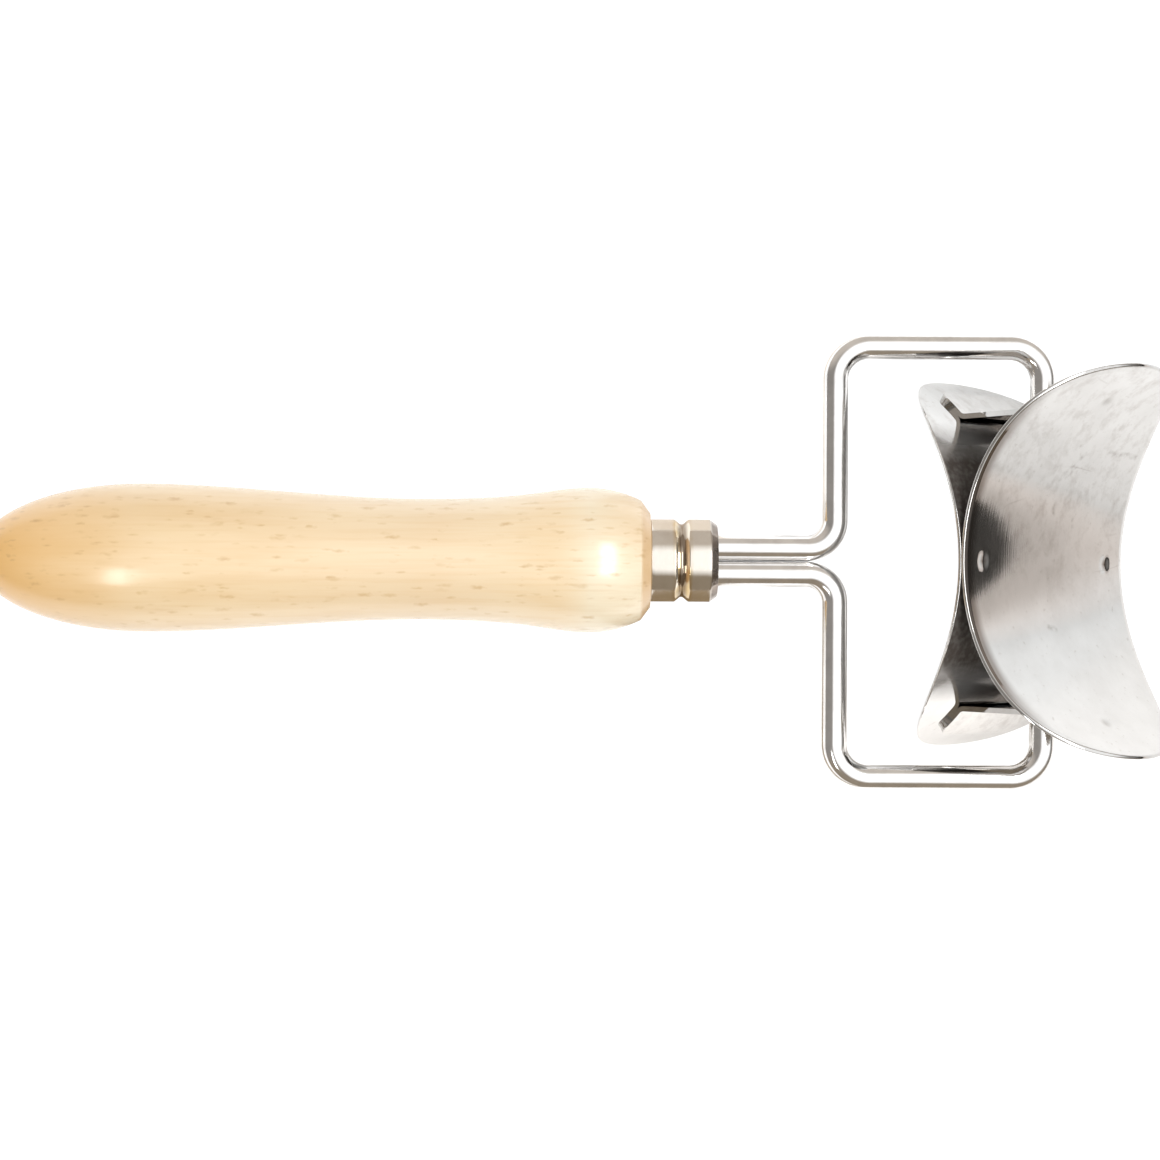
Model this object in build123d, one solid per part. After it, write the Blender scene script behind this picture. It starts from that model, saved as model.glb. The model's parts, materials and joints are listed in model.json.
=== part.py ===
from build123d import *
import os
from math import asin, cos, degrees, hypot, radians, sin, sqrt

# Rolling ravioli cutter: a beech handle, a wire fork and a free-turning roller. Millimetres.
# Tool frame: X along the handle towards the roller, Y along the roller axis, Z square to the fork,
# with the origin on the handle's axis at its front face.
# Roller frame: the same Y, with Z square to the blades at the waist and the origin on the axis.

# Fork wire
wire_diameter = 5.0
arm_spacing = 84.0
bar_to_axis = 40.5
neck_length = 23.0
neck_bend_radius = 5.5
arm_bend_radius = 6.5
wire_depth = 45.0
journal_diameter = 3.6
journal_reach = 3.0
wire_chamfer = 0.4

# Roller blades
roller_diameter = 48.0
cut_width = 72.0
sheet_thickness = 0.8
waist_weld_spacing = 37.0
weld_diameter = 3.2
weld_depth = 0.2

# Roller brackets
bracket_spacing = 57.2
bracket_width = 22.0
bracket_thickness = 1.0
bracket_bend_radius = 2.0
tab_length = 7.0
tab_corner_radius = 2.5

# Ferrule
ferrule_diameter = 16.0
ferrule_length = 13.0
ferrule_wall = 0.7
ferrule_taper_length = 1.4
ferrule_taper_depth = 1.0
groove_from_handle = 6.1
groove_width = 2.4
groove_depth = 0.8

# Handle
handle_length = 131.0
butt_diameter = 28.8
butt_dome_length = 32.5
waist_diameter = 23.5
waist_from_front = 45.0
swell_diameter = 26.0
swell_from_front = 22.0
bulge_diameter = 28.2
bulge_from_front = 12.0
shoulder_diameter = 23.3
front_diameter = 18.4
front_chamfer_length = 1.8

# Fits
strand_gap = 0.04
mouth_clearance = 0.8
journal_clearance = 0.06
axial_play = 0.4

# Rest pose: the turn of the roller about its axis, away from square to the fork
roller_rest_angle = 39.0

# Places in the tool frame
wire_radius = wire_diameter / 2
strand_offset = wire_radius + strand_gap / 2
bar_x = ferrule_length + neck_length
axis_x = bar_x + bar_to_axis
tenon_length = ferrule_length - ferrule_wall
tenon_radius = ferrule_diameter / 2 - ferrule_wall

# Blade geometry: the trough's face clears the axis by one sheet at the waist and meets the rolling
# cylinder at the ends of the cut width.
roller_radius = roller_diameter / 2
trough_rise = roller_radius - sheet_thickness
trough_radius = ((cut_width / 2) ** 2 + trough_rise**2) / (2 * trough_rise)
trough_centre = sheet_thickness + trough_radius
back_radius = trough_radius + sheet_thickness

# Bracket geometry: the strip bends from its plate onto the back of a blade. Angles are about the
# trough's centre, from the waist.
bracket_y = bracket_spacing / 2
tab_radius = back_radius + bracket_thickness / 2
bend_orbit = tab_radius + bracket_bend_radius
bend_y = bracket_y + bracket_bend_radius
bend_z = trough_centre - sqrt(bend_orbit**2 - bend_y**2)
bend_angle = degrees(asin(bend_y / bend_orbit))
tab_angle = degrees(tab_length / tab_radius)
tab_weld_angle = bend_angle + tab_angle / 2

# The weld dents are shallow spherical caps in the trough's face.
weld_ball_radius = (weld_diameter**2 / 4 + weld_depth**2) / (2 * weld_depth)
weld_orbit = trough_radius + weld_depth - weld_ball_radius

# The ferrule's front edge tapers; the tenon's taper is smaller, so that the wall keeps its thickness.
taper_edge = hypot(ferrule_taper_length, ferrule_taper_depth)
taper_gain = ferrule_taper_length + ferrule_taper_depth - taper_edge
tenon_taper = 1 - ferrule_wall * taper_gain / (ferrule_taper_length * ferrule_taper_depth)

# The rolled groove is an arc; the tenon's groove lies one wall under it.
groove_radius = (groove_width**2 / 4 + groove_depth**2) / (2 * groove_depth)
groove_orbit = ferrule_diameter / 2 + groove_radius - groove_depth

along_x = Rotation(0, 90, 0)
along_y = Rotation(90, 0, 0)


def rod(radius, start, end):
    """Round bar on the X axis between two places."""
    return Pos((start + end) / 2, 0, 0) * along_x * Cylinder(radius, end - start)


def groove_ring(radius):
    """Ring round the X axis that cuts the rolled groove to the given arc radius."""
    return Pos(groove_from_handle, 0, 0) * along_x * Torus(groove_orbit, radius)


def tapered_rod(radius, length, share):
    """Round bar from the handle's front face along X, its front end tapered by a share of the ferrule's."""
    taper_length = share * ferrule_taper_length
    taper = Cone(radius, radius - share * ferrule_taper_depth, taper_length)
    straight_length = length - taper_length
    return rod(radius, 0, straight_length) + Pos(length - taper_length / 2, 0, 0) * along_x * taper


def make_tenon():
    """Front end of the handle that fills the ferrule."""
    tenon = tapered_rod(tenon_radius, tenon_length, tenon_taper)
    return tenon - groove_ring(groove_radius + ferrule_wall)


def make_handle(tenon):
    """Turned grip with an elliptical butt, a waist and a front bulge, and a mortise for the wires."""
    butt_x = butt_dome_length - handle_length
    with BuildSketch(Plane.XZ) as profile:
        with BuildLine():
            dome = EllipticalCenterArc(
                (butt_x, 0), butt_dome_length, butt_diameter / 2, start_angle=90, arc_size=90
            )
            level = ((1, 0), (1, 0))
            waist = (-waist_from_front, waist_diameter / 2)
            swell = (-swell_from_front, swell_diameter / 2)
            bulge = (-bulge_from_front, bulge_diameter / 2)
            Spline((butt_x, butt_diameter / 2), waist, tangents=level)
            Spline(waist, swell, bulge, tangents=level)
            shoulder = TangentArc(
                bulge, (-front_chamfer_length, shoulder_diameter / 2), tangent=(1, 0)
            )
            Polyline(shoulder @ 1, (0, front_diameter / 2), (0, 0), dome @ 1)
        make_face()
    grip_body = revolve(profile.sketch, Axis.X)
    slot = Plane.YZ.offset(tenon_length) * SlotCenterToCenter(2 * strand_offset, wire_diameter)
    return grip_body + tenon - extrude(slot, -wire_depth)


def make_ferrule(tenon):
    """Thin collar round the tenon, with a rolled groove and a front lip round the wires."""
    collar = tapered_rod(ferrule_diameter / 2, ferrule_length, 1)
    mouth_radius = strand_offset + wire_radius + mouth_clearance
    return collar - groove_ring(groove_radius) - tenon - rod(mouth_radius, 0, ferrule_length)


def make_fork_wire():
    """Half of the fork on the +Y side: neck strand, back bar, arm, and a tip turned down to a journal."""
    arm_y = arm_spacing / 2
    bracket_face = bracket_y + bracket_thickness / 2
    shoulder_y = bracket_face + axial_play
    journal_end = bracket_face - bracket_thickness - journal_reach
    path = FilletPolyline(
        (tenon_length - wire_depth, strand_offset),
        (bar_x, strand_offset),
        (bar_x, arm_y),
        (axis_x, arm_y),
        (axis_x, shoulder_y),
        radius=(neck_bend_radius, arm_bend_radius, arm_bend_radius),
    )
    wire = sweep(Plane(path @ 0, z_dir=path % 0) * Circle(wire_radius), path)
    handle_end = wire.faces().sort_by(Axis.X)[0]
    wire = chamfer(handle_end.edges(), wire_chamfer)
    journal_length = shoulder_y - journal_end
    journal = along_y * Cylinder(journal_diameter / 2, journal_length)
    journal = chamfer(journal.edges().sort_by(Axis.Y)[0], wire_chamfer)
    return wire + Pos(axis_x, journal_end + journal_length / 2, 0) * journal


def weld_ball(x, angle):
    """Sphere that leaves a weld dent in the trough's face, at an angle in degrees from the waist."""
    across = weld_orbit * sin(radians(angle))
    height = trough_centre - weld_orbit * cos(radians(angle))
    return Pos(x, across, height) * Sphere(weld_ball_radius)


def make_blade():
    """Steel disc bent to a trough across the roller, its rim cut to the rolling cylinder."""
    stock_length = 2 * roller_diameter
    bent_sheet = Cylinder(back_radius, stock_length) - Cylinder(trough_radius, stock_length)
    rolling_cylinder = along_y * Cylinder(roller_radius, 2 * back_radius)
    blade = Pos(0, 0, trough_centre) * along_x * bent_sheet & rolling_cylinder
    for side in (-1, 1):
        blade -= weld_ball(side * waist_weld_spacing / 2, 0)
        blade -= weld_ball(0, side * tab_weld_angle)
    return blade


def make_bracket():
    """Strip across the roller on the +Y side, its tabs bent outwards along the backs of both blades."""
    tab_ends = []
    with BuildSketch(Plane.YZ) as outline:
        with BuildLine():
            for offset in (-bracket_thickness / 2, bracket_thickness / 2):
                Line((bracket_y + offset, 0), (bracket_y + offset, bend_z))
                CenterArc((bend_y, bend_z), bracket_bend_radius - offset, 180, bend_angle - 90)
                tab = CenterArc((0, trough_centre), tab_radius + offset, bend_angle - 90, tab_angle)
                tab_ends.append(tab @ 1)
            Line(tab_ends)
            mirror(about=Plane.XZ)
        make_face()
    strip = extrude(outline.sketch, bracket_width / 2, both=True)
    tab_corners = strip.edges().filter_by(lambda edge: edge.length < 1.01 * bracket_thickness)
    strip = fillet(tab_corners, tab_corner_radius)
    hole = along_y * Cylinder(journal_diameter / 2 + journal_clearance, 2 * bracket_thickness)
    return strip - Pos(0, bracket_y, 0) * hole


def rest_place():
    """Place of the tool frame when the roller and the butt both lie on the plane z = 0."""
    butt_x = butt_dome_length - handle_length
    tilt = 0
    for _ in range(20):
        butt_height = sqrt((butt_dome_length * sin(tilt)) ** 2 + (butt_diameter / 2 * cos(tilt)) ** 2)
        tilt = asin((roller_radius - butt_height) / (axis_x - butt_x))
    butt_reach = sqrt((butt_dome_length * cos(tilt)) ** 2 + (butt_diameter / 2 * sin(tilt)) ** 2)
    back_end = butt_x * cos(tilt) - butt_reach
    front_end = axis_x * cos(tilt) + roller_radius
    middle = (back_end + front_end) / 2
    return Pos(-middle, 0, roller_radius - axis_x * sin(tilt)) * Rotation(0, -degrees(tilt), 0)


tenon = make_tenon()
fork_wire = make_fork_wire()
blade = make_blade()
bracket = make_bracket()
roller_place = Pos(axis_x, 0, 0) * Rotation(0, roller_rest_angle, 0)
pieces = {
    "handle": make_handle(tenon),
    "ferrule": make_ferrule(tenon),
    "left_fork_wire": fork_wire,
    "right_fork_wire": mirror(fork_wire, Plane.XZ),
    "upper_blade": roller_place * blade,
    "lower_blade": roller_place * Rotation(0, 180, 0) * blade,
    "left_bracket": roller_place * bracket,
    "right_bracket": roller_place * Rotation(0, 0, 180) * bracket,
}

rest = rest_place()
os.makedirs("parts", exist_ok=True)
for name, piece in pieces.items():
    export_step(rest * piece, f"parts/{name}.step")
roller_axis = rest * Pos(axis_x, 0, 0)
print("roller axis passes through", roller_axis.position)
print("tool frame is tilted by", rest.orientation)
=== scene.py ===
import json
from math import acos, asin, atan2, ceil, cos, hypot, pi, radians, remainder, sin, sqrt, tan
import bpy
from mathutils import Euler, Matrix, Vector, noise


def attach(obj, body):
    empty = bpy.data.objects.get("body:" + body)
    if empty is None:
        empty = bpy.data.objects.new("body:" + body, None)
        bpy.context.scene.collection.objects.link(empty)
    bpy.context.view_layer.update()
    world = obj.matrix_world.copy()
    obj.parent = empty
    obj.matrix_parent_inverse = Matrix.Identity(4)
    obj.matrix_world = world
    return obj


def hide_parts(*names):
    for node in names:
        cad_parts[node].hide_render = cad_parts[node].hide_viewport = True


# Rolling ravioli cutter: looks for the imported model. Sizes are in millimetres unless a name says otherwise.
# Tool frame: X along the handle towards the roller, Y along the roller axis, Z square to the fork.
# Roller frame: the same Y, with Z square to the blades at the waist and the origin on the axis.
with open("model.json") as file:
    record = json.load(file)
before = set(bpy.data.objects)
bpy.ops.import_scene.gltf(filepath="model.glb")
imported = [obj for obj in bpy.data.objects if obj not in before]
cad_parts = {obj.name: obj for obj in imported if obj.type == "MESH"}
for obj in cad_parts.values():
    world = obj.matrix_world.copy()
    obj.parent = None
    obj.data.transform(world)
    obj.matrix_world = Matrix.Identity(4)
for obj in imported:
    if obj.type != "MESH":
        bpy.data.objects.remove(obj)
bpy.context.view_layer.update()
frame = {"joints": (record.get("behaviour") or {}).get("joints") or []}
MM = 0.001

# Fork wire
wire_radius = 2.5
strand_offset = 2.52
arm_y = 42.0
bar_x = 36.0
axis_x = 76.5
neck_bend_radius = 5.5
arm_bend_radius = 6.5
wire_start_x = -32.7
shoulder_y = 29.5
journal_end_y = 25.1
journal_radius = 1.8
wire_edge = 0.35
wire_spacing = 3.0
wire_bend_steps = 22
wire_segments = 40

# Roller blades
roller_radius = 24.0
half_cut = 36.0
sheet_thickness = 0.8
rim_edge = 0.16
rim_corner_share = 0.3
rim_roll_width = 0.7
rim_roll_depth = 0.09
waist_weld_x = 18.5
weld_radius = 1.6
weld_depth = 0.2
wave_height = 0.008
wave_rate = 0.07
blade_columns = 112
blade_rows = 176
rim_crowding = 0.7

# Marks and painted shade on a blade: strengths, the gap between the blades whose backs get painted shade, and
# the painted shade along the waist side of the rim, which begins and is full at shares of the disc's radius
tab_weld_mark = 0.45
gap_half_length = 27.0
gap_fade = 8.0
rim_painted_shade_width = 3.2
rim_painted_shade_fade = 1.8
rim_painted_shade_strength = 0.8
rim_painted_shade_start = 0.55
rim_painted_shade_full = 0.8

# Scratches on a blade: start, end and width
blade_scratches = (
    ((0.0, 16.0), (4.2, 21.0), 0.7),
    ((1.6, 16.4), (3.6, 18.6), 0.55),
    ((11.5, 21.6), (20.0, 21.2), 0.7),
    ((0.4, 11.2), (0.7, 9.4), 0.9),
    ((7.4, 9.8), (7.1, 7.4), 0.8),
    ((-1.6, -12.6), (0.4, -12.9), 0.8),
)

# Roller brackets
bracket_y = 28.6
bracket_half_width = 11.0
bracket_thickness = 1.0
bracket_bend_radius = 2.0
bracket_edge = 0.18
tab_length = 7.0
tab_corner_radius = 2.5
journal_hole_radius = 1.86
hole_overrun = 2.0
tab_end_share = 0.02
tab_steps = 18
bend_steps = 8

# Ferrule and the handle's tenon
ferrule_radius = 8.0
ferrule_length = 13.0
ferrule_wall = 0.7
ferrule_taper_length = 1.4
ferrule_taper_depth = 1.0
mouth_radius = 5.82
groove_x = 6.1
groove_half_width = 1.35
groove_depth = 1.15
ferrule_corner_radii = (0.35, 0.7, 0.35, 0.4, 0.3, 0.2, 0.2, 0.1, 0.2, 0.2, 0.3, 0.2, 0.1, 0.25)
ferrule_corner_steps = 6
ferrule_seam_offset = 3.0
ferrule_spacing = 0.6
ferrule_segments = 128

# Handle
handle_length = 131.0
butt_radius = 14.4
butt_dome_length = 32.5
waist_radius = 11.75
waist_x = -45.0
swell_radius = 13.0
swell_x = -22.0
bulge_radius = 14.1
bulge_x = -12.0
shoulder_radius = 11.65
front_radius = 9.2
front_chamfer_length = 1.8
front_corner_radii = (0.5, 0.25, 0.1, 0.2, 0.3, 0.2, 0.2, 0.1)
front_corner_steps = 4
front_spacing = 1.2
mortise_end_gap = 0.5
mortise_overrun = 1.0
pole_radius = 0.12
tenon_core_radius = 0.5
handle_segments = 144
dome_steps = 40
curve_steps = 24
shoulder_steps = 16
bore_segments = 48

# Rest pose, in degrees
rest_tilt = 3.1162
roller_rest_angle = 39.0

# Camera: turn in degrees and place in millimetres of the tool frame as the camera sees it
camera_turn = (-0.634, 0.053, -0.337)
camera_offset = (13.611, 3.81, -409.115)
focal_pixels = 2100
frame_pixels = 1160
sensor_width = 36.0

# Floor: radius and lift of its rings, and the direction and half-width in degrees of the lifted part
floor_rings = ((1, 0), (150, 0), (350, 0), (550, 0), (650, 8), (750, 27), (850, 53), (950, 84))
floor_segments = 180
lift_direction = 3.3
lift_half_angle = 30.0

# Card that the metal mirrors: a dark card, hidden from the camera, that stands in for shade on the floor
# beside the ferrule
flag_corners = ((32, 900), (106, 900), (29.5, 0), (106, -900), (32, -900), (14, 0))
flag_height = 0.5

# Lights: name, place, target, size and radiance, in metres
softboxes = (
    ("right_softbox", (0.215, 0, 0.72), (0.0, 0, 0), (0.19, 0.68), 9.0),
    ("left_softbox", (-0.2215, -0.2215, 0.374), (-0.093, -0.003, 0.028), (0.05, 0.19), 10.0),
)
fill_lights = (
    ("near_fill", (0.12, -0.7, 0.33), (-0.06, 0, 0.015), (0.5, 0.3), 2.6),
    ("far_fill", (-0.12, 0.7, 0.33), (-0.06, 0, 0.015), (0.5, 0.3), 2.0),
)

# Derived sizes
tenon_length = ferrule_length - ferrule_wall
tenon_radius = ferrule_radius - ferrule_wall
taper_gain = ferrule_taper_length + ferrule_taper_depth - hypot(ferrule_taper_length, ferrule_taper_depth)
tenon_taper = 1 - ferrule_wall * taper_gain / (ferrule_taper_length * ferrule_taper_depth)
tenon_front_radius = tenon_radius - tenon_taper * ferrule_taper_depth
tenon_taper_x = tenon_length - tenon_taper * ferrule_taper_length
trough_rise = roller_radius - sheet_thickness
trough_radius = (half_cut**2 + trough_rise**2) / (2 * trough_rise)
trough_centre = sheet_thickness + trough_radius
back_radius = trough_radius + sheet_thickness
tab_radius = back_radius + bracket_thickness / 2
bend_orbit = tab_radius + bracket_bend_radius
bend_y = bracket_y + bracket_bend_radius
bend_z = trough_centre - sqrt(bend_orbit**2 - bend_y**2)
bend_angle = asin(bend_y / bend_orbit)
tab_angle = tab_length / tab_radius
tab_weld_angle = bend_angle + tab_angle / 2

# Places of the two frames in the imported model
axis_place = Matrix.Translation(Vector(frame["joints"][0]["pos_m"]))
axis_in_tool = Matrix.Translation((axis_x * MM, 0, 0))
tool_place = axis_place @ Matrix.Rotation(radians(-rest_tilt), 4, "Y") @ axis_in_tool.inverted()
roller_place = tool_place @ axis_in_tool @ Matrix.Rotation(radians(roller_rest_angle), 4, "Y")


def colour(red, green, blue):
    return (red, green, blue, 1.0)


# Colours of the wood
wood_pale = colour(0.625, 0.485, 0.298)
wood_warm = colour(0.58, 0.42, 0.23)
# Paler towards the front: partly the wood's own tone, partly painted light
wood_middle_tone_and_light = colour(0.615, 0.51, 0.37)
wood_front_tone_and_light = colour(0.655, 0.605, 0.46)
# Painted shade on one side of the shoulder
wood_shoulder_painted_shade = colour(0.585, 0.44, 0.27)
wood_chamfer = colour(0.57, 0.39, 0.21)
wood_streak = colour(0.52, 0.335, 0.155)
wood_fleck = colour(0.40, 0.24, 0.085)
# Warmer where the surface faces backwards: partly end grain, partly painted shade
wood_facing_back_grain_and_shade = colour(0.67, 0.385, 0.115)
# Painted light where the surface faces forwards
wood_facing_front_painted_light = colour(0.72, 0.61, 0.46)

# Colours of the metal
wire_bright = colour(0.83, 0.82, 0.81)
wire_dull = colour(0.70, 0.69, 0.68)
nickel_bright = colour(0.76, 0.72, 0.66)
nickel_dull = colour(0.67, 0.62, 0.55)
nickel_worn = colour(0.60, 0.43, 0.18)
# Painted shade in the ferrule's groove
groove_painted_shade = colour(0.16, 0.11, 0.07)
# Painted dark reflection on the ferrule's taper
taper_painted_reflection = colour(0.22, 0.18, 0.16)
blade_light = colour(0.605, 0.60, 0.592)
blade_dark = colour(0.545, 0.538, 0.528)
bracket_light = colour(0.62, 0.61, 0.595)
bracket_dark = colour(0.54, 0.53, 0.52)
sheet_speck = colour(0.34, 0.31, 0.28)
sheet_smudge = colour(0.36, 0.33, 0.31)
sheet_line = colour(0.30, 0.27, 0.25)
sheet_scratch = colour(0.28, 0.26, 0.24)
# Colour of the weld marks and of the painted shade along the rim
sheet_mark_and_shade = colour(0.20, 0.17, 0.15)
# Painted shade on the blades' backs between them
gap_painted_shade = colour(0.07, 0.055, 0.045)

# Colours of the stage
white = colour(1.0, 1.0, 1.0)
paper_near = colour(0.85, 0.85, 0.85)
paper_middle = colour(0.73, 0.73, 0.73)
paper_lift = colour(0.92, 0.86, 0.825)
paper_edge = colour(0.80, 0.745, 0.71)
paper_seen_low = colour(0.15, 0.15, 0.15)
paper_seen_high = colour(0.17, 0.17, 0.17)
right_glow = colour(1.0, 0.93, 0.86)
left_glow = colour(0.80, 0.92, 1.0)
# The flag card's colours: its brown side stands in for shade on the floor
flag_painted_shade = colour(0.22, 0.165, 0.10)
flag_tan = colour(0.70, 0.645, 0.585)
right_wall = colour(0.34, 0.285, 0.22)
left_wall = colour(0.66, 0.60, 0.54)
front_low = colour(0.07, 0.065, 0.06)
front_high = colour(0.33, 0.32, 0.31)
back_wall = colour(0.33, 0.31, 0.29)
overhead_glow = colour(1.4, 1.4, 1.4)


# Mesh helpers
def clamp(value):
    """The value held between 0 and 1."""
    return min(1.0, max(0.0, value))


def round_corners(points, radii, steps):
    """Polyline in a plane whose inner corners become arcs of the given radii."""
    rounded = [Vector(points[0])]
    for before, corner, after, radius in zip(points, points[1:], points[2:], radii):
        corner = Vector(corner)
        to_before = (Vector(before) - corner).normalized()
        to_after = (Vector(after) - corner).normalized()
        half = to_before.angle(to_after) / 2
        centre = corner + (to_before + to_after).normalized() * radius / sin(half)
        start = corner + to_before * radius / tan(half) - centre
        end = corner + to_after * radius / tan(half) - centre
        for step in range(steps + 1):
            rounded.append(centre + start.lerp(end, step / steps).normalized() * radius)
    return rounded + [Vector(points[-1])]


def densify(points, spacing):
    """The same polyline with its long runs divided."""
    dense = [points[0]]
    for start, end in zip(points, points[1:]):
        count = max(1, ceil((end - start).length / spacing))
        dense += [start.lerp(end, step / count) for step in range(1, count + 1)]
    return dense


def ring_faces(rings, segments, closed=False):
    """Quads between successive rings of vertices."""
    faces = []
    for ring in range(rings if closed else rings - 1):
        low = ring * segments
        high = (ring + 1) % rings * segments
        for k in range(segments):
            after = (k + 1) % segments
            faces.append((low + k, low + after, high + after, high + k))
    return faces


def cap_faces(rings, segments):
    """Faces that close the first and the last ring."""
    last = (rings - 1) * segments
    return [tuple(reversed(range(segments))), tuple(range(last, last + segments))]


def tube_faces(rings, segments):
    """Faces of a closed body made of rings."""
    return ring_faces(rings, segments) + cap_faces(rings, segments)


def lathe(profile, segments, closed=False):
    """Body turned about X from points of place and radius, with flat caps unless the profile is closed."""
    vertices = []
    for x, radius in profile:
        for k in range(segments):
            turn = 2 * pi * k / segments
            vertices.append((x, radius * sin(turn), radius * cos(turn)))
    faces = ring_faces(len(profile), segments, True) if closed else tube_faces(len(profile), segments)
    return vertices, faces


def make_object(name, vertices, faces):
    """Smooth mesh object from millimetres, still in the frame that its points are in."""
    mesh = bpy.data.meshes.new(name)
    mesh.from_pydata([Vector(vertex) * MM for vertex in vertices], [], faces)
    mesh.validate()
    mesh.shade_smooth()
    piece = bpy.data.objects.new(name, mesh)
    bpy.context.scene.collection.objects.link(piece)
    return piece


def fix_normals(piece):
    """Turn the faces outwards."""
    bpy.context.view_layer.objects.active = piece
    bpy.ops.object.mode_set(mode="EDIT")
    bpy.ops.mesh.select_all(action="SELECT")
    bpy.ops.mesh.normals_make_consistent(inside=False)
    bpy.ops.object.mode_set(mode="OBJECT")


def cut(piece, vertices):
    """Take a bore out of a piece, given the vertices of its two end rings."""
    cutter = make_object("cutter", vertices, tube_faces(2, bore_segments))
    fix_normals(cutter)
    modifier = piece.modifiers.new("cut", "BOOLEAN")
    modifier.operation = "DIFFERENCE"
    modifier.object = cutter
    modifier.solver = "EXACT"
    depsgraph = bpy.context.evaluated_depsgraph_get()
    result = bpy.data.meshes.new_from_object(piece.evaluated_get(depsgraph))
    piece.modifiers.remove(modifier)
    piece.data = result
    bpy.data.objects.remove(cutter)


def bevel_edges(piece, width):
    """Round the sharp edges of a piece."""
    modifier = piece.modifiers.new("bevel", "BEVEL")
    modifier.width = width * MM
    modifier.segments = 3
    modifier.limit_method = "ANGLE"
    modifier.angle_limit = radians(40)


def finish_piece(piece, place, material, body, node):
    """Put the piece in its place, give it its material, tie it to its body and hide the CAD node that it
    stands in for.

    The mesh keeps its points in their first frame as the attribute that the materials follow.
    """
    mesh = piece.data
    local = mesh.attributes.new("local", "FLOAT_VECTOR", "POINT")
    local.data.foreach_set("vector", [value for vertex in mesh.vertices for value in vertex.co])
    mesh.transform(place)
    mesh.materials.clear()
    mesh.materials.append(material)
    piece.modifiers.new("normals", "WEIGHTED_NORMAL")
    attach(piece, body)
    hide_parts(node)


# Material helpers
class Graph:
    """Node tree of a material or of the world, built by short calls."""

    def __init__(self, owner, shader):
        self.owner = owner
        owner.use_nodes = True
        self.tree = owner.node_tree
        self.shader = self.tree.nodes[shader]

    def add(self, kind, inputs=None, **settings):
        node = self.tree.nodes.new("ShaderNode" + kind)
        for key, value in settings.items():
            setattr(node, key, value)
        for key, value in (inputs or {}).items():
            self.put(node, key, value)
        return node

    def put(self, node, key, value):
        if isinstance(value, bpy.types.NodeSocket):
            self.tree.links.new(value, node.inputs[key])
        else:
            node.inputs[key].default_value = value

    def local(self):
        """The mesh's own coordinates, in metres."""
        return self.add("Attribute", attribute_name="local").outputs["Vector"]

    def carried(self, name):
        """A value that the mesh carries at its points."""
        return self.add("Attribute", attribute_name=name).outputs["Fac"]

    def axes(self, vector):
        """The three coordinates of a vector."""
        return self.add("SeparateXYZ", {0: vector}).outputs

    def vector(self, operation, first, second):
        """Vector that comes from two vectors, or from a vector and a scale."""
        inputs = {0: first, "Scale" if operation == "SCALE" else 1: second}
        return self.add("VectorMath", inputs, operation=operation).outputs[0]

    def measure(self, operation, first, second):
        """Number that comes from two vectors."""
        return self.add("VectorMath", {0: first, 1: second}, operation=operation).outputs["Value"]

    def coordinates(self, scale):
        """The mesh's own coordinates times a scale for each axis, in cells per metre."""
        return self.add("Mapping", {"Vector": self.local(), "Scale": scale}).outputs[0]

    def noise(self, scale, detail=2.0, roughness=0.5):
        inputs = {"Vector": self.coordinates(scale), "Scale": 1.0, "Detail": detail, "Roughness": roughness}
        return self.add("TexNoise", inputs).outputs["Fac"]

    def wobble(self, amount):
        """Small random offset that makes regular cells uneven."""
        inputs = {"Vector": self.coordinates((900, 900, 900)), "Scale": 1.0, "Detail": 1.0}
        return self.vector("SCALE", self.add("TexNoise", inputs).outputs["Color"], amount)

    def stroke(self, start, end, width):
        """Mask of a scratch between two places of the mesh's own X and Y, in millimetres."""
        start, end = (Vector((*place, 0)) * MM for place in (start, end))
        run = end - start
        flat = self.vector("MULTIPLY", self.local(), (1, 1, 0))
        place = self.vector("SUBTRACT", flat, start)
        share = self.measure("DOT_PRODUCT", place, run / run.length_squared)
        nearest = self.vector("SCALE", run, self.remap(share, 0.0, 1.0))
        return self.remap(self.measure("DISTANCE", place, nearest), width * MM, 0.1 * width * MM)

    def remap(self, value, low, high, to_low=0.0, to_high=1.0):
        inputs = {"Value": value, "From Min": low, "From Max": high, "To Min": to_low, "To Max": to_high}
        return self.add("MapRange", inputs).outputs[0]

    def math(self, operation, first, second):
        return self.add("Math", {0: first, 1: second}, operation=operation).outputs[0]

    def product(self, first, second):
        return self.math("MULTIPLY", first, second)

    def difference(self, first, second):
        """How far apart two numbers are."""
        return self.add("Math", {0: self.math("SUBTRACT", first, second)}, operation="ABSOLUTE").outputs[0]

    def mix(self, factor, first, second):
        node = self.add("Mix", data_type="RGBA")
        for index, value in ((0, factor), (6, first), (7, second)):
            self.put(node, index, value)
        return node.outputs[2]

    def bump(self, height, distance, strength):
        inputs = {"Height": height, "Distance": distance, "Strength": strength}
        return self.add("Bump", inputs).outputs[0]

    def shade(self, **inputs):
        for key, value in inputs.items():
            self.put(self.shader, key.replace("_", " "), value)
        return self.owner


def paint(name):
    """Graph of a new material."""
    return Graph(bpy.data.materials.new(name), "Principled BSDF")


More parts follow.
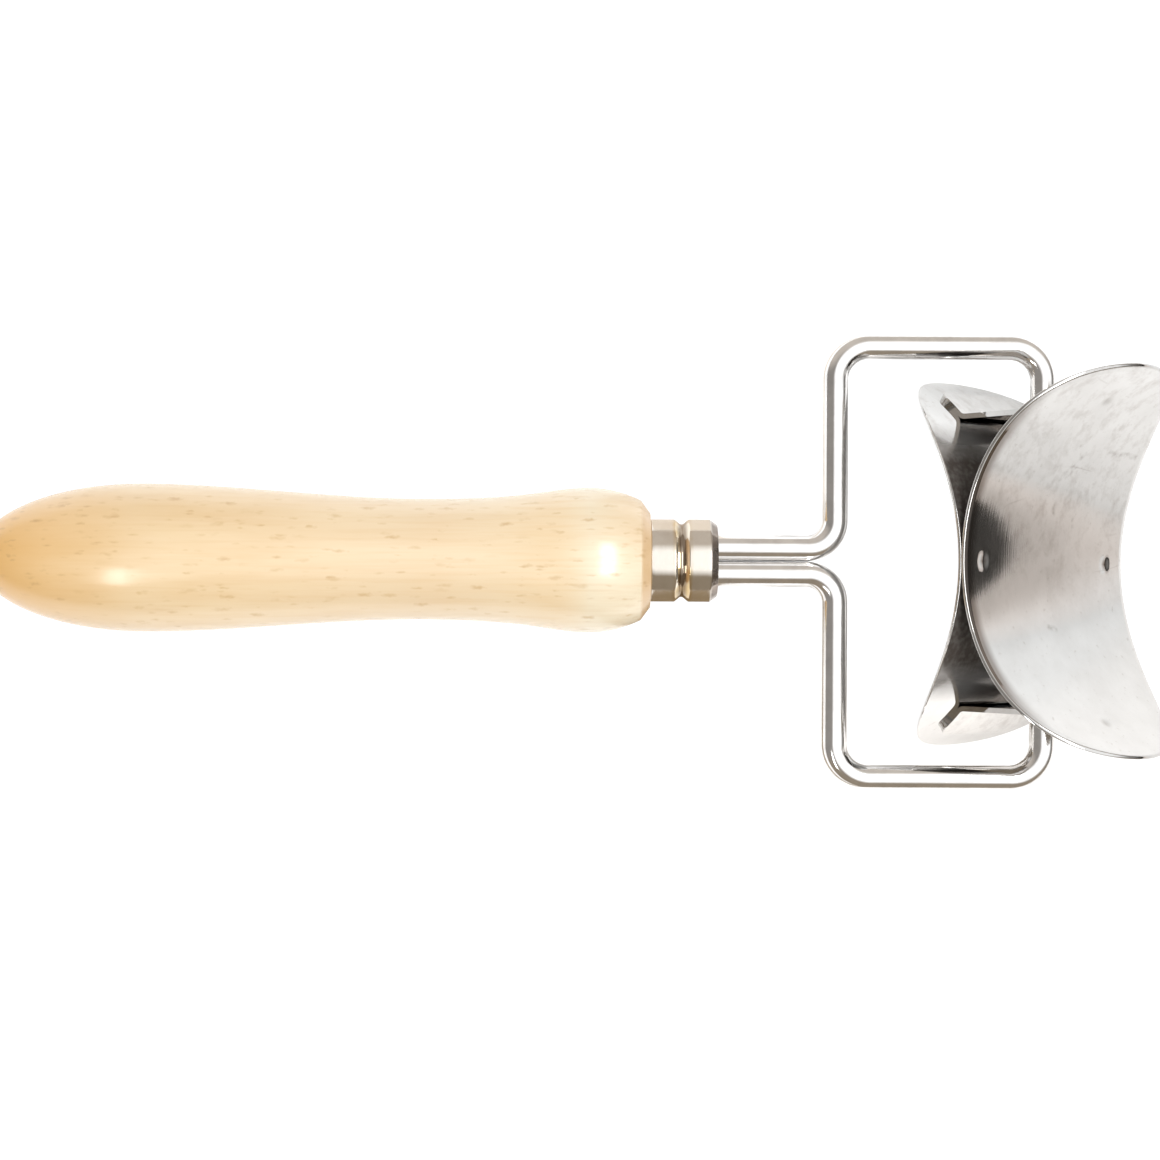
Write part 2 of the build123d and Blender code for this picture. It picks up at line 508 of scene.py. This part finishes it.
def beech():
    """Varnished beech: pale, with short brown ray flecks along the grain; paler towards the front, partly its
    tone and partly painted light; painted shade on one side of the shoulder; warmer where it faces backwards,
    partly end grain and partly painted shade; painted light where it faces forwards.
    """
    graph = paint("beech_varnished")
    tone = graph.noise((36, 170, 70), detail=4.0)
    base = graph.mix(graph.remap(tone, 0.32, 0.68), wood_pale, wood_warm)
    along, across, _ = graph.axes(graph.local())
    # Paler towards the front: partly the wood's own tone, partly painted light
    base = graph.mix(graph.remap(along, -0.09, -0.01, 0, 0.8), base, wood_middle_tone_and_light)
    base = graph.mix(graph.remap(along, -0.04, -0.02, 0, 0.55), base, wood_front_tone_and_light)
    # Painted shade: a darker tint on one side of the shoulder
    shoulder_shade = graph.remap(along, -0.014, -0.004, 0, 0.7)
    base = graph.mix(graph.product(shoulder_shade, graph.remap(across, -0.006, 0.003)), base, wood_shoulder_painted_shade)
    streaks = graph.noise((45, 1300, 450), detail=3.0)
    base = graph.mix(graph.remap(streaks, 0.45, 0.8, 0, 0.3), base, wood_streak)
    facing = graph.axes(graph.add("TexCoord").outputs["Normal"])[0]
    # Warmer where the surface faces backwards: partly end grain, partly painted shade
    base = graph.mix(graph.remap(facing, -0.03, -0.62), base, wood_facing_back_grain_and_shade)
    # Painted light where the surface faces forwards
    base = graph.mix(graph.remap(facing, 0.1, 0.6, 0, 0.2), base, wood_facing_front_painted_light)
    chamfer_x = -front_chamfer_length * MM
    base = graph.mix(graph.remap(along, chamfer_x - 0.0003, chamfer_x + 0.0003), base, wood_chamfer)
    for scale, rarity, strength in (((190, 760, 330), 0.5, 0.58), ((300, 1150, 480), 0.55, 0.52)):
        bent = graph.vector("ADD", graph.coordinates(scale), graph.wobble(0.5))
        flecks = graph.add("TexVoronoi", {"Vector": bent, "Scale": 1.0})
        chosen = graph.add("SeparateColor", {0: flecks.outputs["Color"]}).outputs[0]
        shape = graph.remap(flecks.outputs["Distance"], 0.36, 0.08)
        fleck = graph.product(shape, graph.remap(chosen, rarity, 1.0, 0.15 * strength, strength))
        shown = graph.math("GREATER_THAN", chosen, rarity)
        base = graph.mix(graph.product(fleck, shown), base, wood_fleck)
    return graph.shade(
        Base_Color=base,
        Roughness=0.5,
        Normal=graph.bump(streaks, 0.00004, 0.4),
        Coat_Weight=1.0,
        Coat_Roughness=0.2,
        Coat_IOR=1.6,
    )


def polished_wire():
    """Bright drawn wire, finely grained, with dull patches."""
    graph = paint("fork_wire_polished")
    dull = graph.noise((300, 300, 300), detail=4.0)
    fine = graph.noise((2500, 2500, 2500), detail=2.0)
    return graph.shade(
        Base_Color=graph.mix(graph.remap(dull, 0.35, 0.75), wire_bright, wire_dull),
        Metallic=1.0,
        Roughness=graph.remap(dull, 0.3, 0.8, 0.07, 0.17),
        Normal=graph.bump(fine, 0.00001, 0.4),
    )


def nickel_plate():
    """Nickel plate on the ferrule, worn at the groove, with painted shade in the groove, a painted dark
    reflection on the taper and turning lines round it.
    """
    graph = paint("ferrule_nickel")
    cloud = graph.noise((220, 220, 220), detail=3.0)
    tone = graph.mix(graph.remap(cloud, 0.3, 0.7), nickel_bright, nickel_dull)
    along = graph.axes(graph.local())[0]
    from_groove = graph.difference(along, groove_x * MM)
    worn = graph.product(graph.remap(from_groove, 0.0021, 0.0012), graph.remap(cloud, 0.42, 0.6, 0.2, 0.8))
    tone = graph.mix(worn, tone, nickel_worn)
    # Painted shade in the groove
    tone = graph.mix(graph.remap(from_groove, 0.0011, 0.0005, 0, 0.75), tone, groove_painted_shade)
    # Painted dark reflection on the taper
    taper_x = (ferrule_length - ferrule_taper_length) * MM
    tapered = graph.remap(along, taper_x - 0.0003, taper_x + 0.0003, 0, 0.85)
    lines = graph.noise((4000, 30, 30), detail=2.0)
    return graph.shade(
        Base_Color=graph.mix(tapered, tone, taper_painted_reflection),
        Metallic=1.0,
        Roughness=graph.remap(cloud, 0.3, 0.8, 0.08, 0.2),
        Normal=graph.bump(lines, 0.00001, 0.5),
    )


def satin_sheet(name, light, dark, scratches=()):
    """Stainless sheet with fine brush lines, blotches and scuffs, and weld marks, painted shade along the rim
    and painted shade between the blades where the mesh carries them.
    """
    graph = paint(name)
    cloud = graph.noise((110, 110, 110), detail=6.0, roughness=0.65)
    tone = graph.mix(graph.remap(cloud, 0.35, 0.72), light, dark)
    speck = graph.noise((900, 900, 900), detail=2.0)
    tone = graph.mix(graph.remap(speck, 0.66, 0.76, 0, 0.35), tone, sheet_speck)
    worn = graph.remap(graph.axes(graph.local())[1], -0.012, 0.004, 0.1, 1.0)
    smudge = graph.remap(graph.noise((330, 260, 260), detail=5.0, roughness=0.7), 0.48, 0.7, 0, 0.5)
    tone = graph.mix(graph.product(smudge, worn), tone, sheet_smudge)
    field = graph.noise((30, 95, 60), detail=1.0)
    line = graph.remap(graph.difference(field, 0.5), 0.009, 0.002)
    patch = graph.remap(graph.noise((80, 60, 60), detail=1.0), 0.56, 0.66, 0, 0.3)
    tone = graph.mix(graph.product(graph.product(line, patch), worn), tone, sheet_line)
    broken = graph.remap(speck, 0.4, 0.65, 0.05, 0.5)
    for scratch in scratches:
        tone = graph.mix(graph.product(graph.stroke(*scratch), broken), tone, sheet_scratch)
    # Weld marks, and painted shade along the rim's waist side, that the mesh carries
    tone = graph.mix(graph.carried("mark_and_shade"), tone, sheet_mark_and_shade)
    brush = graph.noise((3200, 60, 160), detail=3.0)
    # Painted shade: the blades' backs between them are darkened, and duller
    gap = graph.carried("gap")
    painted_shade = graph.product(gap, graph.remap(speck, 0.4, 0.7, 0.95, 0.82))
    dull = graph.product(gap, 0.16)
    return graph.shade(
        Base_Color=graph.mix(painted_shade, tone, gap_painted_shade),
        Metallic=graph.remap(gap, 0.0, 1.0, 1.0, 0.45),
        Roughness=graph.math("ADD", graph.remap(cloud, 0.3, 0.8, 0.03, 0.07), dull),
        Normal=graph.bump(brush, 0.000006, 0.18),
    )


# Pieces
def handle_profile():
    """Half outline of the grip and its tenon, from the butt's pole to the tenon's face."""
    dome_x = butt_dome_length - handle_length
    profile = [Vector((-handle_length, pole_radius))]
    for step in range(1, dome_steps + 1):
        turn = pi / 2 * step / dome_steps
        profile.append(Vector((dome_x - butt_dome_length * cos(turn), butt_radius * sin(turn))))
    knots = (
        (dome_x, butt_radius),
        (waist_x, waist_radius),
        (swell_x, swell_radius),
        (bulge_x, bulge_radius),
    )
    back, front = swell_x - waist_x, bulge_x - swell_x
    rise_back, rise_front = (swell_radius - waist_radius) / back, (bulge_radius - swell_radius) / front
    swell_slope = 3 * (front * rise_back + back * rise_front) / (2 * (back + front))
    slopes = (0, 0, swell_slope, 0)
    for (x0, r0), (x1, r1), s0, s1 in zip(knots, knots[1:], slopes, slopes[1:]):
        span = x1 - x0
        for step in range(1, curve_steps + 1):
            t = step / curve_steps
            ease = t * t * (3 - 2 * t)
            radius = r0 + (r1 - r0) * ease + span * (s0 * t * (1 - t) ** 2 - s1 * t * t * (1 - t))
            profile.append(Vector((x0 + span * t, radius)))
    run = -front_chamfer_length - bulge_x
    drop = bulge_radius - shoulder_radius
    arc_radius = (run**2 + drop**2) / (2 * drop)
    for step in range(1, shoulder_steps):
        turn = asin(run / arc_radius) * step / shoulder_steps
        radius = bulge_radius - arc_radius * (1 - cos(turn))
        profile.append(Vector((bulge_x + arc_radius * sin(turn), radius)))
    front_end = [
        profile[-1],
        (-front_chamfer_length, shoulder_radius),
        (0, front_radius),
        (0, tenon_radius),
        (groove_x - groove_half_width, tenon_radius),
        (groove_x, tenon_radius - groove_depth),
        (groove_x + groove_half_width, tenon_radius),
        (tenon_taper_x, tenon_radius),
        (tenon_length, tenon_front_radius),
        (tenon_length, tenon_core_radius),
    ]
    rounded = round_corners(front_end, front_corner_radii, front_corner_steps)
    return profile[:-1] + densify(rounded, front_spacing)


def make_handle():
    """Turned grip and tenon with an oblong mortise for the two wires."""
    handle = make_object("grip", *lathe(handle_profile(), handle_segments))
    fix_normals(handle)
    mortise = []
    for x in (wire_start_x - mortise_end_gap, tenon_length + mortise_overrun):
        for k in range(bore_segments):
            turn = 2 * pi * (k + 0.5) / bore_segments
            side = strand_offset if cos(turn) > 0 else -strand_offset
            mortise.append((x, side + wire_radius * cos(turn), wire_radius * sin(turn)))
    cut(handle, mortise)
    finish_piece(handle, tool_place, beech(), "handle_frame", "handle")


def make_ferrule():
    """Thin collar with a rolled groove, turned from a closed outline that starts behind the groove."""
    seam = (groove_x - ferrule_seam_offset, ferrule_radius)
    outline = [
        seam,
        (groove_x - groove_half_width, ferrule_radius),
        (groove_x, ferrule_radius - groove_depth),
        (groove_x + groove_half_width, ferrule_radius),
        (ferrule_length - ferrule_taper_length, ferrule_radius),
        (ferrule_length, ferrule_radius - ferrule_taper_depth),
        (ferrule_length, mouth_radius),
        (tenon_length, mouth_radius),
        (tenon_length, tenon_front_radius),
        (tenon_taper_x, tenon_radius),
        (groove_x + groove_half_width, tenon_radius),
        (groove_x, tenon_radius - groove_depth),
        (groove_x - groove_half_width, tenon_radius),
        (0, tenon_radius),
        (0, ferrule_radius),
        seam,
    ]
    rounded = round_corners(outline, ferrule_corner_radii, ferrule_corner_steps)
    profile = densify(rounded, ferrule_spacing)[:-1]
    ferrule = make_object("collar", *lathe(profile, ferrule_segments, closed=True))
    fix_normals(ferrule)
    finish_piece(ferrule, tool_place, nickel_plate(), "handle_frame", "ferrule")


def make_wire(side, name, node, material):
    """One half of the fork: a tube along its path, turned down to the journal at the tip."""
    corners = [
        (wire_start_x, strand_offset),
        (bar_x, strand_offset),
        (bar_x, arm_y),
        (axis_x, arm_y),
        (axis_x, shoulder_y),
    ]
    bend_radii = (neck_bend_radius, arm_bend_radius, arm_bend_radius)
    path = densify(round_corners(corners, bend_radii, wire_bend_steps), wire_spacing)
    tip = Vector((axis_x, shoulder_y))
    journal_end = Vector((axis_x, journal_end_y))
    back_along_arm = Vector((0, wire_edge))
    rings = [
        (path[0], wire_radius - wire_edge),
        (path[0] + Vector((wire_edge, 0)), wire_radius),
        *((place, wire_radius) for place in path[1:-1]),
        (tip + back_along_arm, wire_radius),
        (tip, wire_radius - wire_edge),
        (tip, journal_radius),
        (journal_end + back_along_arm, journal_radius),
        (journal_end, journal_radius - wire_edge),
    ]
    vertices = []
    for index, (place, radius) in enumerate(rings):
        before = rings[max(index - 1, 0)][0]
        after = rings[min(index + 1, len(rings) - 1)][0]
        along = (after - before).normalized()
        across = Vector((-along.y, along.x))
        for k in range(wire_segments):
            turn = 2 * pi * k / wire_segments
            point = place + across * radius * cos(turn)
            vertices.append((point.x, side * point.y, radius * sin(turn)))
    wire = make_object(name, vertices, tube_faces(len(rings), wire_segments))
    fix_normals(wire)
    finish_piece(wire, tool_place, material, "handle_frame", node)


def blade_point(along, across, layer):
    """Point of a blade from disc coordinates, at a layer from the trough's face, 0, to its back, 1."""
    radius = trough_radius + sheet_thickness * layer
    end_angle = acos((trough_centre - roller_radius) / radius)
    reach = hypot(along, across)
    direction = atan2(across, along)
    rim_angle = end_angle * sin(direction)
    rim_height = trough_centre - radius * cos(rim_angle)
    rim_x = sqrt(max(0.0, roller_radius**2 - rim_height**2))
    if cos(direction) < 0:
        rim_x = -rim_x
    angle = reach * rim_angle
    return Vector((reach * rim_x, radius * sin(angle), trough_centre - radius * cos(angle)))


def weld_places():
    """Places of the weld dents on the trough's face."""
    places = []
    for side in (-1, 1):
        places.append(Vector((side * waist_weld_x, 0, sheet_thickness)))
        angle = side * tab_weld_angle
        places.append(Vector((0, trough_radius * sin(angle), trough_centre - trough_radius * cos(angle))))
    return places


def make_blade(turn, name, node, material, seed):
    """Disc bent to a trough: two gridded faces, a rounded rim and weld dents."""
    inset = rim_edge / roller_radius
    welds = weld_places()
    vertices, marks_and_shade, gaps = [], [], []

    def spread(step, count):
        """Place from -1 to 1 of a step over the grid, closer set towards the rim."""
        share = 2 * step / count - 1
        return share + rim_crowding * sin(pi * share) / pi

    def disc(u, v, shrink):
        """Point of the unit disc for a point of the unit square."""
        return u * sqrt(1 - v * v / 2) * shrink, v * sqrt(1 - u * u / 2) * shrink

    def face_marks_and_shade(point, along, from_rim):
        """Depth share of a weld dent, and strength of the dark colour at a point of the trough's face: the
        darker of the weld mark and the painted shade along the rim.
        """
        dent, mark_and_shade = 0.0, 0.0
        for weld in welds:
            share = (point - weld).length / weld_radius
            if share < 1:
                dent = (1 - share * share) ** 2
                mark_and_shade = dent if weld.y == 0 else tab_weld_mark * dent
        # Painted shade along the waist side of the rim
        painted_shade = clamp((rim_painted_shade_width - from_rim) / rim_painted_shade_fade)
        painted_shade *= clamp((-along - rim_painted_shade_start) / (rim_painted_shade_full - rim_painted_shade_start))
        return dent, max(mark_and_shade, rim_painted_shade_strength * painted_shade)

    def sheet(layer):
        """Add the points of a gridded face and return its quads."""
        start = len(vertices)
        for row in range(blade_rows + 1):
            for column in range(blade_columns + 1):
                u, v = spread(column, blade_columns), spread(row, blade_rows)
                along, across = disc(u, v, 1 - inset)
                point = blade_point(along, across, layer)
                towards_centre = (Vector((point.x, 0, trough_centre)) - point).normalized()
                calm = 1 - max(abs(u), abs(v)) ** 8
                lift = noise.noise(point * wave_rate + Vector((seed, 0, 0))) * wave_height * calm
                mark_and_shade = 0.0
                if layer == 0:
                    from_rim = (1 - inset - hypot(along, across)) * roller_radius
                    dent, mark_and_shade = face_marks_and_shade(point, along, from_rim)
                    lift -= rim_roll_depth * max(0.0, 1 - from_rim / rim_roll_width) + weld_depth * dent
                vertices.append(point + towards_centre * lift)
                marks_and_shade.append(mark_and_shade)
                gaps.append(layer * clamp((gap_half_length - abs(point.y)) / gap_fade))
        width = blade_columns + 1
        faces = []
        for row in range(blade_rows):
            for column in range(blade_columns):
                corner = start + row * width + column
                faces.append((corner, corner + 1, corner + width + 1, corner + width))
        return faces

    def border(start):
        """Indices round the edge of a gridded face."""
        width = blade_columns + 1
        last = blade_rows * width + blade_columns
        loop = list(range(blade_columns))
        loop += [row * width + blade_columns for row in range(blade_rows)]
        loop += [last - column for column in range(blade_columns)]
        loop += [(blade_rows - row) * width for row in range(blade_rows)]
        return [start + index for index in loop]

    faces = sheet(0)
    back_start = len(vertices)
    faces += [tuple(reversed(face)) for face in sheet(1)]
    loops = [border(0)]
    across_steps = [spread(column, blade_columns) for column in range(blade_columns)]
    along_steps = [spread(row, blade_rows) for row in range(blade_rows)]
    steps = [(u, -1) for u in across_steps] + [(1, v) for v in along_steps]
    steps += [(-u, 1) for u in across_steps] + [(-1, -v) for v in along_steps]
    edge, roll = rim_edge / sheet_thickness, rim_roll_depth / sheet_thickness
    near = 1 - rim_corner_share * inset
    corner = rim_corner_share * edge
    for shrink, layer in ((near, roll + corner), (1, roll + edge), (1, 1 - edge), (near, 1 - corner)):
        loops.append(list(range(len(vertices), len(vertices) + len(steps))))
        vertices += [blade_point(*disc(u, v, shrink), layer) for u, v in steps]
        marks_and_shade += [0.0] * len(steps)
        gaps += [0.0] * len(steps)
    loops.append(border(back_start))
    for low, high in zip(loops, loops[1:]):
        for k in range(len(low)):
            after = (k + 1) % len(low)
            faces.append((low[k], high[k], high[after], low[after]))
    blade = make_object(name, vertices, faces)
    for attribute_name, values in (("mark_and_shade", marks_and_shade), ("gap", gaps)):
        attribute = blade.data.attributes.new(attribute_name, "FLOAT", "POINT")
        attribute.data.foreach_set("value", values)
    fix_normals(blade)
    blade_place = roller_place @ Matrix.Rotation(turn, 4, "Y")
    finish_piece(blade, blade_place, material, "roller", node)


def make_bracket(turn, name, node, material):
    """Bent strip with rounded tab ends and a journal hole."""
    centre = Vector((0, trough_centre))
    half = []
    for step in range(tab_steps + 1):
        angle = bend_angle + tab_angle * (1 - (step / tab_steps) ** 2)
        half.append(centre + tab_radius * Vector((sin(angle), -cos(angle))))
    for step in range(1, bend_steps + 1):
        angle = pi / 2 + bend_angle + (pi / 2 - bend_angle) * step / bend_steps
        half.append(Vector((bend_y, bend_z)) + bracket_bend_radius * Vector((cos(angle), sin(angle))))
    half.insert(1, half[0].lerp(half[1], tab_end_share))
    path = half + [Vector((y, -z)) for y, z in reversed(half)]
    lengths = [(end - start).length for start, end in zip(path, path[1:])]
    total = sum(lengths)
    vertices = []
    for index, place in enumerate(path):
        before, after = path[max(index - 1, 0)], path[min(index + 1, len(path) - 1)]
        along = (after - before).normalized()
        side = Vector((-along.y, along.x)) * bracket_thickness / 2
        gone = sum(lengths[:index])
        left = max(0.0, tab_corner_radius - min(gone, total - gone))
        width = bracket_half_width - tab_corner_radius + sqrt(tab_corner_radius**2 - left**2)
        for x, offset in ((-width, side), (width, side), (width, -side), (-width, -side)):
            vertices.append((x, place.x + offset.x, place.y + offset.y))
    bracket = make_object(name, vertices, tube_faces(len(path), 4))
    fix_normals(bracket)
    hole = []
    for y in (bracket_y - hole_overrun, bracket_y + hole_overrun):
        for k in range(bore_segments):
            angle = 2 * pi * k / bore_segments
            hole.append((journal_hole_radius * cos(angle), y, journal_hole_radius * sin(angle)))
    cut(bracket, hole)
    bevel_edges(bracket, bracket_edge)
    bracket_place = roller_place @ Matrix.Rotation(turn, 4, "Z")
    finish_piece(bracket, bracket_place, material, "roller", node)


# Stage
def make_floor():
    """Pale sheet whose far edge lifts a little on one side.

    The camera sees it lit through, so that shadows stay faint; the tool mirrors a pale sheet that glows a
    little, more towards one side and beside the roller.
    """
    vertices = []
    for radius, height in floor_rings:
        for k in range(floor_segments):
            turn = 2 * pi * k / floor_segments
            aside = remainder(turn - radians(lift_direction), 2 * pi) / radians(lift_half_angle)
            vertices.append((radius * cos(turn), radius * sin(turn), height * max(0.0, 1 - aside**2)))
    faces = ring_faces(len(floor_rings), floor_segments) + [tuple(range(floor_segments))]
    floor = make_object("paper_sweep", vertices, faces)
    graph = paint("paper")
    place = graph.add("TexCoord").outputs["Object"]
    across = graph.axes(place)[1]
    distance = graph.measure("DISTANCE", place, (0, 0, 0))
    side = graph.remap(across, -0.02, 0.06, 0.06, 0.23)
    glow = graph.product(side, graph.remap(distance, 0.7, 0.85, 1.0, 0.0))
    # Painted light: a glow on the floor beside the roller, hidden from the camera, that the roller's tips
    # mirror
    from_roller = graph.measure("DISTANCE", place, (0.09, -0.065, 0))
    glow = graph.math("ADD", glow, graph.remap(from_roller, 0.05, 0.02, 0.0, 0.4))
    tint = graph.mix(graph.remap(across, -0.03, 0.05), right_glow, left_glow)
    mirrored = graph.mix(graph.remap(distance, 0.14, 0.22), paper_near, paper_middle)
    mirrored = graph.mix(graph.remap(distance, 0.5, 0.75), mirrored, paper_lift)
    mirrored = graph.mix(graph.remap(distance, 0.78, 0.88), mirrored, paper_edge)
    grain = graph.add("TexNoise", {"Vector": place, "Scale": 900.0}).outputs["Fac"]
    seen = graph.add("LightPath").outputs["Is Camera Ray"]
    paper = graph.shade(
        Base_Color=graph.mix(seen, mirrored, graph.mix(grain, paper_seen_low, paper_seen_high)),
        Roughness=0.9,
        Emission_Color=graph.mix(seen, tint, white),
        Emission_Strength=graph.math("MAXIMUM", graph.product(seen, 0.95), glow),
    )
    floor.data.materials.append(paper)


def make_flag():
    """Card across the floor under the ferrule, hidden from the camera, that the metal's edges mirror; its
    dark side stands in for shade on the floor there.
    """
    corners = [(x, y, flag_height) for x, y in flag_corners]
    flag = make_object("ferrule_flag", corners, [(0, 1, 2, 5), (5, 2, 3, 4)])
    graph = paint("flag_card")
    across = graph.axes(graph.add("TexCoord").outputs["Object"])[1]
    tone = graph.mix(graph.remap(across, -0.01, 0.012), flag_painted_shade, flag_tan)
    flag.data.materials.append(graph.shade(Base_Color=tone, Roughness=0.9))
    flag.visible_camera = False
    flag.visible_diffuse = False
    flag.visible_shadow = False


def make_light(name, place, target, size, radiance):
    """Softbox that faces a target, its size given along X and along Y, in metres."""
    light = bpy.data.lights.new(name, "AREA")
    light.shape = "RECTANGLE"
    light.size, light.size_y = size
    light.energy = radiance * pi * size[0] * size[1]
    lamp = bpy.data.objects.new(name, light)
    lamp.visible_camera = False
    bpy.context.scene.collection.objects.link(lamp)
    back = (Vector(place) - Vector(target)).normalized()
    side = Vector((1, 0, 0)).cross(back).normalized()
    turn = Matrix((-side.cross(back), -side, back)).transposed().to_4x4()
    lamp.matrix_world = Matrix.Translation(place) @ turn
    return lamp


def make_world():
    """Dim room with a soft glow overhead and paler side walls, and a white backdrop for the camera."""
    graph = Graph(bpy.data.worlds.new("room"), "Background")
    bpy.context.scene.world = graph.owner
    direction = graph.add("TexCoord").outputs["Generated"]
    along, across, upward = graph.axes(direction)
    walls = graph.mix(graph.remap(across, -0.1, 0.1), right_wall, left_wall)
    front = graph.mix(graph.remap(upward, 0.09, 0.26), front_low, front_high)
    ends = graph.mix(graph.remap(along, -0.1, 0.1), back_wall, front)
    room = graph.mix(graph.remap(graph.difference(across, 0.0), 0.25, 0.6), ends, walls)
    overhead = graph.measure("DOT_PRODUCT", direction, (0.375, 0, 0.927))
    room = graph.mix(graph.remap(overhead, 0.66, 0.83), room, overhead_glow)
    graph.shade(Color=room)
    backdrop = graph.add("Background", {"Color": white})
    seen = graph.add("LightPath").outputs["Is Camera Ray"]
    choice = graph.add("MixShader", {0: seen, 1: graph.shader.outputs[0], 2: backdrop.outputs[0]})
    graph.put(graph.tree.nodes["World Output"], "Surface", choice.outputs[0])


def make_camera():
    """Camera over the tool, looking down on the fork."""
    data = bpy.data.cameras.new("camera")
    data.sensor_width = sensor_width
    data.lens = focal_pixels / frame_pixels * sensor_width
    data.clip_start = 0.01
    camera = bpy.data.objects.new("camera", data)
    bpy.context.scene.collection.objects.link(camera)
    turn = Euler([radians(angle) for angle in camera_turn], "XYZ").to_matrix().to_4x4()
    seen = Matrix.Translation(Vector(camera_offset) * MM) @ turn
    camera.matrix_world = tool_place @ seen.inverted()
    bpy.context.scene.camera = camera


make_handle()
make_ferrule()
wire_steel = polished_wire()
make_wire(1, "left_wire", "left_fork_wire", wire_steel)
make_wire(-1, "right_wire", "right_fork_wire", wire_steel)
blade_steel = satin_sheet("blade_satin_steel", blade_light, blade_dark, blade_scratches)
make_blade(0, "upper_trough", "upper_blade", blade_steel, 0.0)
make_blade(pi, "lower_trough", "lower_blade", blade_steel, 7.0)
bracket_steel = satin_sheet("bracket_satin_steel", bracket_light, bracket_dark)
make_bracket(0, "left_strip", "left_bracket", bracket_steel)
make_bracket(pi, "right_strip", "right_bracket", bracket_steel)
make_floor()
make_flag()
for softbox in softboxes:
    make_light(*softbox)
for fill_light in fill_lights:
    make_light(*fill_light).visible_glossy = False
make_world()
make_camera()
bpy.context.scene.view_settings.view_transform = "Standard"
